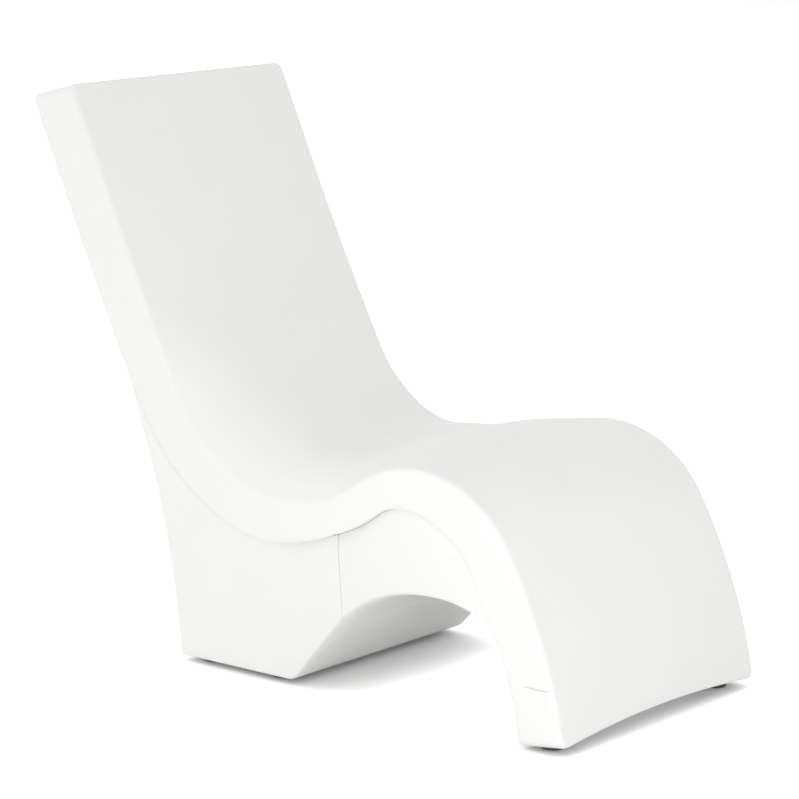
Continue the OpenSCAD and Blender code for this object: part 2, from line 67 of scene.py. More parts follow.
def share(default, name, text):
    return FloatProperty(name=name, description=text, default=default, min=0.0, max=1.0, subtype="FACTOR")


def strength(default, name, text):
    return FloatProperty(name=name, description=text, default=default, min=0.0)


def colour(code, name, text):
    return FloatVectorProperty(
        name=name, description=text, default=linear(code), size=4, subtype="COLOR", min=0.0, max=1.0
    )


def linear(code):
    """A colour written as sRGB hex, as linear light."""
    parts = [int(code[k:k + 2], 16) / 255 for k in (1, 3, 5)]
    return [p / 12.92 if p <= 0.04045 else ((p + 0.055) / 1.055) ** 2.4 for p in parts] + [1.0]


class SlabSizes(bpy.types.PropertyGroup):
    width: length(0.6, "Width", "Width of the slab")
    thickness: length(0.096, "Thickness", "Thickness of the slab's sides at the leg")
    waist: length(0.070, "Waist", "Thickness of the sides between knees and seat")
    back: length(0.109, "Back thickness", "Thickness of the sides up the back")
    edge: length(0.010, "Upper edge", "Rounding of the edges on the sitter's side")
    under_edge: length(0.009, "Lower edge", "Rounding of the edges underneath")
    joint_edge: length(0.0012, "Joint edge", "Rounding of the lower edges where the web meets them")
    crease_in: length(0.006, "Crease depth", "How far the lower edge draws in over pedestal and web")
    crease_up: length(0.016, "Crease height", "Height over which it draws in")
    corner: length(0.018, "Corners", "Rounding of the slab's four corners, seen from above")
    end_edge: length(0.005, "End edges", "Rounding of the edges across the head and the sole")
    crown: length(0.076, "Crown", "How far the seat bulges over its side edges")
    lean: length(0.020, "Head lean", "How far the underside runs ahead at the head")
    shin_radius: length(1.0, "Shin radius", "Radius of the leg's side line")
    knee_radius: length(0.238, "Knee radius", "Radius of the knee roll's side line")
    seat_radius: length(0.284, "Seat radius", "Radius of the seat's side line")
    back_length: length(0.415, "Back length", "Length of the back's side line")
    head_length: length(0.220, "Head length", "Length of the straight head end")
    rise: turn(79.9, "Rise", "Slope of the leg at the floor")
    shin_turn: turn(20.4, "Shin turn", "Turn of the side line along the leg")
    knee_turn: turn(95, "Knee turn", "Turn of the side line over the knees")
    seat_turn: turn(97, "Seat turn", "Turn of the side line through the seat")
    back_turn: turn(4, "Back turn", "Turn of the side line up the back")
    toe_height: length(0.015, "Toe height", "Height at which the side line starts")
    sole_height: length(0.003, "Sole height", "Height of the sole's rear edge")
    sole_tilt: turn(7, "Sole tilt", "Slope of the sole up to its front")
    sole_bow: length(0.016, "Sole bow", "Rise of the shallow arch across the sole")


class BaseSizes(bpy.types.PropertyGroup):
    stand: length(0.010, "Stand", "Height of the pedestal's underside over the floor")
    gap: length(0.0006, "Seam gap", "Gap between the mouldings")
    lip: length(0.006, "Lip", "Height of the pedestal's upper edge at the rear")
    top_station: length(1.307, "Top station", "Where the pedestal's rear meets the slab, along its side line")
    top_in: length(0.002, "Top inset", "How far the pedestal's sides stay inside the slab's, at the top")
    foot_in: length(0.050, "Foot inset", "How far they stay inside them at the floor")
    rear_in: length(0.326, "Rear inset", "Distance of the upright rear foot from the head's end")
    rear_height: length(0.040, "Upright foot", "Height of the upright part of the rear")
    depth: length(0.282, "Depth", "Depth of the pedestal's foot")
    front_round: length(0.035, "Front round", "Rounding of the pedestal's front foot")
    seam_in: length(0.412, "Seam inset", "Distance of the upright seam from the pedestal's rear foot")
    seam_height: length(0.144, "Seam height", "Height of the seam's lower end")
    arch_height: length(0.236, "Arch height", "Height of the arch's crest")
    arch_crest_in: length(0.047, "Arch crest", "How far the arch's crest lies in front of the knee's")
    arch_station: length(0.232, "Arch station", "Where the arch meets the leg, along its side line")
    arch_in: length(0.001, "Arch inset", "How far the web's sides stay inside the slab's at the leg")
    edge: length(0.006, "Edges", "Rounding of the outer edges")
    crease_in: length(0.005, "Crease depth", "How far the sides draw in under the slab")
    crease_down: length(0.024, "Crease height", "Height over which they draw in")
    crease_from: length(0.060, "Crease start", "Where the crease starts, past the arch's end on the leg")
    crease_grow: length(0.170, "Crease growth", "Length over which it deepens")
    soft: length(0.045, "Soft edge", "Width of the round between the sides and the pedestal's slanted front")
    soft_up: length(0.014, "Soft edge height", "Height of that round")
    seam_edge: length(0.0022, "Seam edges", "Rounding of the edges along the seam")
    seam_open: length(0.0014, "Seam opening", "Gap along the upright seam")
    pocket: length(0.100, "Pocket", "Diameter of the pockets round the plugs")
    pocket_depth: length(0.015, "Pocket depth", "Least depth of these pockets")
    fill_height: length(0.336, "Fill height", "Height of the upper plug")
    drain_height: length(0.070, "Drain height", "Height of the lower plug")


class FittingSizes(bpy.types.PropertyGroup):
    wall: length(0.006, "Wall", "Wall of the mouldings")
    plug: length(0.038, "Plug", "Diameter of the plug's thread")
    plug_length: length(0.020, "Plug length", "Length of the thread")
    pitch: length(0.003, "Pitch", "Pitch of the thread")
    thread: length(0.0014, "Thread depth", "Depth of the thread")
    flange: length(0.062, "Flange", "Diameter of the plug's flange")
    flange_height: length(0.006, "Flange height", "Thickness of the flange")
    bar: length(0.009, "Bar", "Width of the finger bar")
    bar_length: length(0.050, "Bar length", "Length of the finger bar")
    bar_height: length(0.006, "Bar height", "Height of the finger bar over the flange")
    gasket: length(0.0025, "Gasket", "Thickness of the gasket")
    bush: length(0.050, "Bush", "Diameter of the threaded bush")
    bush_length: length(0.023, "Bush length", "Length of the threaded bush")
    cap: length(0.0459, "Tunnel cap", "Diameter of the caps in the bolt tunnels")
    tunnel: length(0.046, "Tunnel", "Diameter of the bolt tunnels")
    vent: length(0.012, "Vent", "Diameter of the vent plugs' shanks")
    vent_length: length(0.010, "Vent length", "Length of these shanks")
    vent_head: length(0.018, "Vent head", "Diameter of the vent plugs' heads")
    vent_height: length(0.002, "Vent height", "Height of these heads")
    pad: length(0.050, "Pad", "Diameter of the pedestal's pads")
    toe_pad: length(0.040, "Toe pad", "Diameter of the pads under the foot")
    tread: length(0.0012, "Tread", "Depth of the grooves in the pads")
    screw: length(0.006, "Pad screw", "Diameter of the pads' screws")
    screw_head: length(0.012, "Screw head", "Diameter of these screws' heads")
    screw_height: length(0.0035, "Screw head height", "Height of these screws' heads")
    screw_length: length(0.020, "Screw length", "Length of these screws under the head")
    screw_seat: length(0.004, "Screw seat", "Rubber between a screw's head and the moulding")


class Finishes(bpy.types.PropertyGroup):
    shell: colour("#EFEFEE", "Shell", "Colour of the mouldings")
    fitting: colour("#E6E7E7", "Fittings", "Colour of plugs and caps")
    rubber: colour("#4C4E50", "Rubber", "Colour of the pads")
    seal: colour("#232426", "Seals", "Colour of the gaskets")
    shell_gloss: share(0.52, "Shell roughness", "Roughness of the mouldings")
    grain: length(0.0022, "Grain", "Size of the mould's grain")


class StageSizes(bpy.types.PropertyGroup):
    right: strength(1.16, "Right", "Light from the room's right wall")
    left: strength(1.00, "Left", "Light from the room's left wall")
    rear: strength(1.45, "Rear", "Light from the wall behind the head")
    front: strength(0.50, "Front", "Light from the wall before the foot")
    top: strength(0.88, "Top", "Light from the ceiling")
    lamp: FloatProperty(name="Lamp", description="Power of the low lamp", default=27, unit="POWER")
    floor: colour("#FAFAFA", "Floor", "Colour of the floor")
    # near the object the sheet fades by ambient occlusion, a painted contact shade on the floor
    sheet: strength(0.85, "Sheet", "White that the camera sees on the open floor, over its own colour")
    contact: length(0.13, "Contact", "How far from the object that white sets in")


# The slab's lines
def eased(t):
    t = min(1.0, max(0.0, t))
    return t * t * (3 - 2 * t)


def arc_radius(rise, half):
    return (rise ** 2 + half ** 2) / (2 * rise)


def drawn_in(radius, distance):
    """How far a round of a radius draws a face in, at a distance from its end."""
    if distance >= radius:
        return 0.0
    return radius - math.sqrt(max(0.0, radius ** 2 - (radius - distance) ** 2))


def along(pose, distance, angle):
    """The pose [y, z, heading] after an arc of a length and a turn."""
    chord = distance if angle == 0 else distance * math.sin(angle / 2) / (angle / 2)
    y, z, heading = pose
    middle = heading + angle / 2
    return (y + chord * math.cos(middle), z + chord * math.sin(middle), heading + angle)


class SideLine:
    """The S of the slab: its side line, its thickness and its crown, by the distance from the toe."""

    CROWN_START, CROWN_FRONT, CROWN_FULL, CROWN_REAR, CROWN_POWER = 0.225, 0.310, 0.215, 0.390, 5
    WAIST_FROM, WAIST_IN, WAIST_LENGTH, WAIST_OUT = 0.478, 0.240, 0.105, 0.200
    BACK_FROM, BACK_IN = 1.050, 0.290

    def __init__(self, sizes):
        self.p = p = sizes
        self.arcs = [
            (p.shin_radius * p.shin_turn, -p.shin_turn),
            (p.knee_radius * p.knee_turn, -p.knee_turn),
            (p.seat_radius * p.seat_turn, p.seat_turn),
            (p.back_length, p.back_turn),
            (p.head_length, 0.0),
        ]
        self.length = sum(a[0] for a in self.arcs)
        self.toe = 0.0
        head = self.under(self.length)
        depth = head[0] + p.lean * math.cos(self.pose(self.length)[2])
        self.toe, self.head = -depth / 2, depth / 2
        self.sole = self.under(0.0)[0]

    def pose(self, s):
        pose = (self.toe, self.p.toe_height, self.p.rise)
        for k, (reach, angle) in enumerate(self.arcs):
            if s <= reach or k == len(self.arcs) - 1:
                return along(pose, s, angle * s / reach)
            pose = along(pose, reach, angle)
            s -= reach

    def over(self, s, height):
        y, z, heading = self.pose(s)
        return y - height * math.sin(heading), z + height * math.cos(heading)

    def thick(self, s):
        p = self.p
        waist_end = self.WAIST_FROM + self.WAIST_IN + self.WAIST_LENGTH
        waist = eased((s - self.WAIST_FROM) / self.WAIST_IN) * (1 - eased((s - waist_end) / self.WAIST_OUT))
        back = eased((s - self.BACK_FROM) / self.BACK_IN)
        return p.thickness + (p.back - p.thickness) * back - (p.thickness - p.waist) * waist

    def under(self, s, gap=0.0):
        return self.over(s, -self.thick(s) - gap)

    def crown(self, s):
        start = self.arcs[0][0] + self.CROWN_START
        fall = start + self.CROWN_FRONT + self.CROWN_FULL
        rise = eased((s - start) / self.CROWN_FRONT)
        return self.p.crown * rise * (1 - eased((s - fall) / self.CROWN_REAR))

    def crest(self):
        """Pose at the top of the knee roll."""
        first = self.arcs[0][0]
        return self.pose(first + self.p.knee_radius * (self.p.rise - self.p.shin_turn))

    def place(self, x, height, s):
        """A point over the side line, with the head's lean."""
        y, z = self.over(s, height)
        if height < 0:
            heading = self.pose(s)[2]
            ahead = self.p.lean * eased((s - self.length + self.p.head_length) / self.p.head_length)
            ahead *= -height / self.thick(s)
            y, z = y + ahead * math.cos(heading), z + ahead * math.sin(heading)
        return Vector((x, y, z))

    def sole_station(self, x, height):
        """Where a line along the slab starts on the bowed sole."""
        p = self.p
        sine, cosine = math.sin(p.sole_tilt), math.cos(p.sole_tilt)
        radius = arc_radius(p.sole_bow, p.width / 2)
        bow = p.sole_bow - radius + math.sqrt(radius ** 2 - min(abs(x), p.width / 2) ** 2)
        low, high = -0.05, 0.10
        for _ in range(24):
            middle = (low + high) / 2
            y, z = self.over(middle, height)
            if (y - self.sole) * sine + (z - p.sole_height) * cosine > bow:
                high = middle
            else:
                low = middle
        return (low + high) / 2


# Modelling by hand, in code
def only(piece):
    bpy.ops.object.select_all(action="DESELECT")
    piece.select_set(True)
    bpy.context.view_layer.objects.active = piece


def start(add, name, **sizes):
    """Adds a primitive, selected alone, under its name."""
    bpy.ops.object.select_all(action="DESELECT")
    add(**sizes)
    piece = bpy.context.object
    piece.name = piece.data.name = name
    return piece


def in_edit(piece, kind, test, *actions):
    """Selects what passes a test in edit mode, and runs edit operators on it."""
    only(piece)
    bpy.ops.object.mode_set(mode="EDIT")
    bpy.ops.mesh.select_mode(type=kind)
    bpy.ops.mesh.select_all(action="DESELECT")
    bpy.ops.object.mode_set(mode="OBJECT")
    mesh = piece.data
    for item in {"VERT": mesh.vertices, "EDGE": mesh.edges, "FACE": mesh.polygons}[kind]:
        item.select = bool(test(item))
    bpy.ops.object.mode_set(mode="EDIT")
    for action in actions:
        action()
    bpy.ops.object.mode_set(mode="OBJECT")


def everything(_item):
    return True


def weld():
    bpy.ops.mesh.remove_doubles(threshold=WELD)
    bpy.ops.mesh.select_all(action="SELECT")
    bpy.ops.mesh.normals_make_consistent(inside=False)


def skin(name, columns, rows, place):
    """A grid whose points move to their places, and are zipped where they meet."""
    piece = start(bpy.ops.mesh.primitive_grid_add, name, x_subdivisions=columns, y_subdivisions=rows, size=1)
    if len(piece.data.vertices) != (columns + 1) * (rows + 1):
        raise RuntimeError(f"{name}: the grid has {len(piece.data.vertices)} points")
    for v in piece.data.vertices:
        v.co = place(round((v.co.x + 0.5) * columns), round((v.co.y + 0.5) * rows))
    in_edit(piece, "VERT", everything, weld)
    return piece


def spun(name, outline, steps=64):
    """A closed outline of (radius, height), spun about Z in edit mode."""
    piece = start(
        bpy.ops.mesh.primitive_circle_add, name, vertices=len(outline), radius=1, fill_type="NOTHING")
    for v, (radius, height) in zip(piece.data.vertices, outline):
        v.co = (radius, 0, height)
    in_edit(
        piece, "VERT", everything,
        lambda: bpy.ops.mesh.spin(steps=steps, angle=2 * math.pi, center=(0, 0, 0), axis=(0, 0, 1)),
        lambda: bpy.ops.mesh.select_all(action="SELECT"), weld,
        lambda: bpy.ops.mesh.delete_loose(use_verts=True, use_edges=True, use_faces=False),
    )
    return piece


def copies(piece, places):
    """The piece at each of some places, each copy with its own mesh, as one object."""
    name, made = piece.name, []
    for place in places:
        only(piece)
        bpy.ops.object.duplicate(linked=False)
        made.append(bpy.context.object)
        made[-1].location = place
    bpy.data.objects.remove(piece)
    only(made[0])
    for other in made[1:]:
        other.select_set(True)
    bpy.ops.object.join()
    whole = bpy.context.object
    whole.name = whole.data.name = name
    return whole


def rounded(corners, steps=4):
    """An outline whose corners, each (across, up, round), are rounded off."""
    points = []
    for k, (x, y, r) in enumerate(corners):
        if r <= 0:
            points.append((x, y))
            continue
        here = Vector((x, y))
        before = (Vector(corners[k - 1][:2]) - here).normalized()
        after = (Vector(corners[(k + 1) % len(corners)][:2]) - here).normalized()
        half = before.angle(after) / 2
        centre = here + (before + after).normalized() * (r / math.sin(half))
        a = here + before * (r / math.tan(half)) - centre
        b = here + after * (r / math.tan(half)) - centre
        first = math.atan2(a.y, a.x)
        sweep = (math.atan2(b.y, b.x) - first + math.pi) % (2 * math.pi) - math.pi
        for n in range(steps + 1):
            t = first + sweep * n / steps
            points.append((centre.x + r * math.cos(t), centre.y + r * math.sin(t)))
    return points


def apply_modifier(piece, kind, **settings):
    only(piece)
    modifier = piece.modifiers.new(kind.title(), kind)
    for key, value in settings.items():
        setattr(modifier, key, value)
    bpy.ops.object.modifier_apply(modifier=modifier.name)


def carve(piece, cutters, operation="DIFFERENCE"):
    """Cuts other solids out of a piece, or joins them to it, and removes them."""
    for cutter in cutters:
        apply_modifier(piece, "BOOLEAN", object=cutter, operation=operation, solver="EXACT")
        bpy.data.objects.remove(cutter)


def cylinder(name, diameter, low, high, x, y, vertices=48):
    """An upright cylinder between two heights."""
    return start(
        bpy.ops.mesh.primitive_cylinder_add, name, vertices=vertices, radius=diameter / 2,
        depth=high - low, location=(x, y, (low + high) / 2),
    )


def settle(piece, material, slot, body, *nodes, angle=35):
    """Puts a finished piece at the origin with its material, on its body, for its nodes."""
    only(piece)
    bpy.ops.object.transform_apply(location=True, rotation=True, scale=True)
    bpy.ops.object.shade_smooth_by_angle(angle=math.radians(angle))
    piece.data.materials.clear()
    piece.data.materials.append(material)
    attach(piece, body)
    if nodes:
        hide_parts(*nodes)
    return piece


# Materials
def add_node(tree, kind, links=None, **settings):
    """Adds a node with its settings and links; sockets are given by name or number."""
    node = tree.nodes.new(kind)
    for key, value in settings.items():
        name = key.replace("_", " ").title()
        if hasattr(node, key):
            setattr(node, key, value)
        else:
            node.inputs[name].default_value = value
    for socket, source in (links or {}).items():
        tree.links.new(source, node.inputs[socket])
    return node


def new_material(name):
    material = bpy.data.materials.new(name)
    material.use_nodes = True
    material.node_tree.nodes.clear()
    return material, material.node_tree


def close_material(tree, shader):
    add_node(tree, "ShaderNodeOutputMaterial", {"Surface": shader.outputs[0]})


def moulded_plastic(name, tint, roughness, grain, wave=0.0):
    """Rotomoulded LLDPE: satin, with the mould's fine grain and slightly uneven walls."""
    material, tree = new_material(name)
    where = add_node(tree, "ShaderNodeTexCoord").outputs["Object"]
    # the mould's sprayed grain, drawn a little coarser than the real 1 mm so that it shows
    fine = add_node(tree, "ShaderNodeTexNoise", {"Vector": where}, scale=1 / grain, detail=2.0)
    # thicker and thinner places of the wall, a hand's breadth apart
    broad = add_node(tree, "ShaderNodeTexNoise", {"Vector": where}, scale=1 / 0.11, detail=1.0)
    pale = [min(1.0, c * 1.012) for c in tint[:3]] + [1.0]
    dull = [c * 0.985 for c in tint[:3]] + [1.0]
    mixed = add_node(tree, "ShaderNodeMix", {0: broad.outputs[0]}, data_type="RGBA")
    mixed.inputs[6].default_value, mixed.inputs[7].default_value = pale, dull
    gloss = add_node(
        tree, "ShaderNodeMapRange", {"Value": fine.outputs[0]},
        from_min=0.3, from_max=0.7, to_min=roughness - 0.03, to_max=roughness + 0.04,
    )
    bump = add_node(tree, "ShaderNodeBump", {"Height": fine.outputs[0]}, strength=0.10, distance=0.0003)
    if wave:
        bump = add_node(
            tree, "ShaderNodeBump", {"Height": broad.outputs[0], "Normal": bump.outputs[0]},
            strength=0.5, distance=wave,
        )
    shader = add_node(
        tree, "ShaderNodeBsdfPrincipled",
        {"Base Color": mixed.outputs[2], "Roughness": gloss.outputs[0], "Normal": bump.outputs[0]},
    )
    shader.inputs["IOR"].default_value = 1.51
    # the grain scatters what a bare surface would mirror at a glancing view
    shader.inputs["Specular IOR Level"].default_value = 0.12
    close_material(tree, shader)
    return material


def moulded_rubber(name, tint, roughness, grain):
    """Moulded rubber: dull and dark, with a fine cloudy grain."""
    material, tree = new_material(name)
    where = add_node(tree, "ShaderNodeTexCoord").outputs["Object"]
    fine = add_node(tree, "ShaderNodeTexNoise", {"Vector": where}, scale=1 / grain, detail=4.0)
    mixed = add_node(tree, "ShaderNodeMix", {0: fine.outputs[0]}, data_type="RGBA")
    mixed.inputs[6].default_value = [c * 0.8 for c in tint[:3]] + [1.0]
    mixed.inputs[7].default_value = [min(1.0, c * 1.25) for c in tint[:3]] + [1.0]
    bump = add_node(tree, "ShaderNodeBump", {"Height": fine.outputs[0]}, strength=0.3, distance=0.0002)
    shader = add_node(
        tree, "ShaderNodeBsdfPrincipled", {"Base Color": mixed.outputs[2], "Normal": bump.outputs[0]},
        roughness=roughness,
    )
    shader.inputs["IOR"].default_value = 1.52
    close_material(tree, shader)
    return material


def turned_metal(name, tint, roughness):
    """Turned or cold-headed metal: fine rings left by the tool, and cloudy gloss."""
    material, tree = new_material(name)
    where = add_node(tree, "ShaderNodeTexCoord").outputs["Object"]
    rings = add_node(
        tree, "ShaderNodeTexWave", {"Vector": where}, bands_direction="Z",
        scale=1 / (20 * 0.0004), distortion=0.6, detail=1.0,
    )
    cloudy = add_node(tree, "ShaderNodeTexNoise", {"Vector": where}, scale=1 / 0.006, detail=3.0)
    gloss = add_node(
        tree, "ShaderNodeMapRange", {"Value": cloudy.outputs[0]},
        from_min=0.3, from_max=0.7, to_min=roughness - 0.06, to_max=roughness + 0.08,
    )
    bump = add_node(tree, "ShaderNodeBump", {"Height": rings.outputs[1]}, strength=0.15, distance=0.00005)
    shader = add_node(
        tree, "ShaderNodeBsdfPrincipled", {"Roughness": gloss.outputs[0], "Normal": bump.outputs[0]},
        metallic=1.0,
    )
    shader.inputs["Base Color"].default_value = tint
    close_material(tree, shader)
    return material


def finish_of(name):
    """A material of the chair, made on its first use."""
    if name in bpy.data.materials:
        return bpy.data.materials[name]
    f = bpy.context.scene.lounger_finishes
    if name == "rotomoulded_polyethylene":
        return moulded_plastic(name, f.shell, f.shell_gloss, f.grain, wave=0.0006)
    if name == "moulded_polypropylene":
        return moulded_plastic(name, f.fitting, 0.34, 0.0012)
    if name == "moulded_nylon":
        return moulded_plastic(name, linear("#8C8F92"), 0.45, 0.0012)
    if name == "pad_rubber":
        return moulded_rubber(name, f.rubber, 0.72, 0.0016)
    if name == "seal_rubber":
        return moulded_rubber(name, f.seal, 0.62, 0.0010)
    if name == "stainless_steel":
        return turned_metal(name, linear("#C9CACB"), 0.28)
    if name == "brass":
        return turned_metal(name, linear("#D6B872"), 0.32)
    raise RuntimeError(f"no finish is named {name}")


# The mouldings
def stations(reach, spacing, near, far, steps):
    """Distances along a slab, closer over its two rounded ends."""
    ends = [1 - math.cos(math.pi / 2 * k / steps) for k in range(steps + 1)]
    first = [near * e for e in ends]
    last = [reach - far * e for e in reversed(ends)]
    middle = round((reach - near - far) / spacing)
    between = [near + (reach - near - far) * k / middle for k in range(1, middle)]
    return first + between + last


class LOUNGER_OT_slab(bpy.types.Operator):
    """Models the hollow slab that makes back, seat, knee roll, leg and foot"""

    bl_idname = "lounger.slab"
    bl_label = "Slab"

    SIDE, ROUND, TOP, CAP = 4, 6, 40, 6

    def half_section(self, w, inward, upward, height, low, top):
        """Half of the closed section, from the middle of one side to that of the other."""
        middle, flat = low / 2, w - inward
        sign = 1 if top is not None else -1
        reach = height - sign * upward
        points = [(w, middle + (reach - middle) * k / self.SIDE) for k in range(self.SIDE)]
        # the round turns until it has the slope at which the crown sets off
        slope = SideLine.CROWN_POWER * (top or 0.0) / flat
        turned = math.pi / 2 - math.atan(slope)
        for k in range(self.ROUND):
            a = turned * k / self.ROUND
            points.append((flat + inward * math.cos(a), reach + sign * upward * math.sin(a)))
        flat += inward * math.cos(turned)
        foot = reach + sign * upward * math.sin(turned)
        rise = height + (top or 0.0) - foot
        row = []
        for k in range(self.TOP + 1):
            t = math.cos(math.pi * k / self.TOP)
            row.append((flat * t, foot + (rise * (1 - abs(t) ** SideLine.CROWN_POWER) if top else 0.0)))
        mirrored = [(-x, v) for x, v in reversed(points)]
        return points + row + mirrored

    def execute(self, context):
        p, base = context.scene.lounger_slab, context.scene.lounger_base
        line = SideLine(p)
        spots = stations(line.length, 0.0075, p.corner, p.corner, 10)
        blend = 0.15
        half = 2 * (self.SIDE + self.ROUND) + self.TOP
        rows = len(spots) - 1 + 2 * self.CAP
        sections = []
        for s in spots:
            w = p.width / 2 - drawn_in(p.corner, s) - drawn_in(p.corner, line.length - s)
            inset = drawn_in(p.end_edge, s) + drawn_in(p.end_edge, line.length - s)
            low = -line.thick(s)
            past_tip = 1 - eased((s - base.top_station) / 0.05)
            valley = past_tip * eased((s - base.arch_station - base.crease_from) / base.crease_grow)
            joined = past_tip * eased((s - base.arch_station) / 0.015 + 1)
            round_off = p.under_edge + (p.joint_edge - p.under_edge) * joined
            inward = round_off + (p.crease_in - round_off) * valley
            upward = round_off + (p.crease_up - round_off) * valley
            upper = self.half_section(w, p.edge, p.edge, -inset, low, line.crown(s))
            lower = self.half_section(w, inward, upward, low + inset, low, None)
            ring = upper + [(-x, v) for x, v in lower[1:-1]] + upper[:1]
            sections.append(ring)

        def place(i, j):
            k = min(max(j - self.CAP, 0), len(spots) - 1)
            x, v = sections[k][i]
            cap = max(self.CAP - j, j - self.CAP - len(spots) + 1, 0) / self.CAP
            if cap:
                other_x, other_v = sections[k][2 * half - i]
                x += ((x + other_x) / 2 - x) * cap
                v += ((v + other_v) / 2 - v) * cap
            s = spots[k]
            if s < blend:
                s += line.sole_station(x, v) * (1 - s / blend)
            return line.place(x, v, s)

        slab = skin("lounge_slab", 2 * half, rows, place)
        f = context.scene.lounger_fittings
        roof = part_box("toe_pads")[1].z
        cutters = [
            cylinder("pad_cutter", f.toe_pad, -0.05, roof, x, y) for x, y in centres("toe_pads", f.toe_pad)]
        vent = cylinder("vent_cutter", f.vent + 0.0001, -f.vent_length, 0.02, 0, 0)
        vent.matrix_world = slab_vent(line)
        cutters += [vent, dent("side_mark", (-p.width / 2, -0.5736, 0.115), (0.0045, 0.027, 0.0020))]
        cutters += [dent("seam_mark", (-p.width / 2 + p.crease_in, -0.117, 0.3185), (0.006, 0.0026, 0.0018))]
        carve(slab, cutters)
        settle(slab, finish_of("rotomoulded_polyethylene"), "shell", CHAIR, "lounge_shell", angle=60)
        return {"FINISHED"}


def slab_vent(line):
    """Where the slab's vent plug sits, on the back of the head, with +Z out of it."""
    station = line.length - 4 * line.p.corner
    y, z = line.under(station)
    return Matrix.Translation((0, y, z)) @ Matrix.Rotation(math.pi + line.pose(station)[2], 4, "X")


def underside(line, gap):
    """The slab's underside as (y, z) from the leg to the back."""
    first, last = 0.02, line.length - 0.25
    steps = 420
    return [line.under(first + (last - first) * k / steps, gap) for k in range(steps + 1)]


def height_at(points, y):
    """Height of a line of (y, z) points at a place, by straight steps."""
    for (y0, z0), (y1, z1) in zip(points, points[1:]):
        if y0 <= y <= y1 and y1 > y0:
            return z0 + (z1 - z0) * (y - y0) / (y1 - y0)
    raise RuntimeError(f"the underside has no point at {y:.3f}")


class Base:
    """Places that the pedestal and the web share."""

    def __init__(self, base, line):
        self.p, self.line = base, line
        self.rear = line.head - base.rear_in
        self.front = self.rear - base.depth
        self.seam = self.rear - base.seam_in
        self.tip = line.under(base.top_station, base.gap + base.lip)
        rise = self.tip[0] - self.rear
        self.rear_radius = arc_radius(rise, self.tip[1] - base.rear_height)
        self.below = underside(line, base.gap)
        self.half = line.p.width / 2

    def rear_at(self, z):
        up = z - self.p.rear_height
        if up < 0:
            return self.rear
        return self.rear + self.rear_radius - math.sqrt(self.rear_radius ** 2 - up ** 2)

    def half_width(self, z):
        low, high = self.half - self.p.foot_in, self.half - self.p.top_in
        return low + (high - low) * (z - self.p.stand) / (self.tip[1] - self.p.stand)

    def pocket_floor(self, z):
        return self.rear_at(z - self.p.pocket / 2) - self.p.pocket_depth


def spread(points, count):
    """Points at even steps along a line of (y, z) points."""
    reach = [0.0]
    for a, b in zip(points, points[1:]):
        reach.append(reach[-1] + math.dist(a, b))
    out, k = [], 0
    for n in range(count + 1):
        at = reach[-1] * n / count
        while k < len(points) - 2 and reach[k + 1] < at:
            k += 1
        step = reach[k + 1] - reach[k]
        t = 0.0 if step == 0 else (at - reach[k]) / step
        out.append(tuple(a + (b - a) * t for a, b in zip(points[k], points[k + 1])))
    return out


ACROSS, SIDE, CORNER, CREASE = 14, 8, 8, 6


def moulding(name, lower, upper, half_at, insets, shares, softness, sizes):
    """A solid between a lower and an upper line of (y, z) points, with sides that draw in
    under the slab and lower edges that soften, each by a share at each point."""
    def ring(k):
        foot, head = Vector(lower[k]), Vector(upper[k])
        reach = (head - foot).length
        way = (head - foot) / reach if reach > 1e-7 else Vector((0, 1))
        e = min(insets[k], reach / 3)
        foot, head, reach = foot + way * e, head - way * e, max(0.0, reach - 2 * e)
        wide = sizes.edge + (sizes.soft - sizes.edge) * softness[k]
        r = sizes.edge + (sizes.soft_up - sizes.edge) * softness[k]
        r, valley = min(r, reach * 0.4), min(sizes.crease_down, reach * 0.5)
        wide = min(wide, reach)
        depth = shares[k] * sizes.crease_in * valley / sizes.crease_down
        column = []
        for n in range(CORNER + 1):
            a = math.pi / 2 * n / CORNER
            column.append((r * (1 - math.cos(a)), wide * (1 - math.sin(a))))
        for n in range(1, SIDE + 1):
            column.append((r + (reach - valley - r) * n / SIDE, 0.0))
        for n in range(1, CREASE + 1):
            q = n / CREASE
            column.append((reach - valley * (1 - q), depth * q * q))
        points = []
        for up, inward in column:
            y, z = foot + way * up
            points.append((half_at(y, z) - e - inward, y, z))
        wide_top, wide_foot = points[-1][0], points[0][0]
        points += [(wide_top * (1 - 2 * n / ACROSS), *head) for n in range(1, ACROSS)]
        points += [(-x, y, z) for x, y, z in reversed(points[:len(column)])]
        points += [(-wide_foot * (1 - 2 * n / ACROSS), *foot) for n in range(1, ACROSS)]
        return points + points[:1]

    rings = [ring(k) for k in range(len(lower))]
    piece = skin(name, len(rings[0]) - 1, len(rings) - 1, lambda i, j: Vector(rings[j][i]))
    close_ends(piece)
    return piece


def close_ends(piece):
    """Fills what is open at the ends of a skin."""
    only(piece)
    bpy.ops.object.mode_set(mode="EDIT")
    bpy.ops.mesh.select_mode(type="EDGE")
    bpy.ops.mesh.select_all(action="DESELECT")
    bpy.ops.mesh.select_non_manifold(
        extend=False, use_wire=False, use_boundary=True, use_multi_face=False,
        use_non_contiguous=False, use_verts=False,
    )
    bpy.ops.mesh.fill_holes(sides=0)
    bpy.ops.mesh.select_all(action="SELECT")
    bpy.ops.mesh.normals_make_consistent(inside=False)
    bpy.ops.object.mode_set(mode="OBJECT")


def centres(node, diameter):
    """Centres of the four discs, or the row of discs, that lie in a node's box."""
    low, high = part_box(node)
    r = diameter / 2
    xs = sorted({round(low.x + r, 6), round(high.x - r, 6)})
    ys = sorted({round(low.y + r, 6), round(high.y - r, 6)})
    return [(x, y) for x in xs for y in ys]


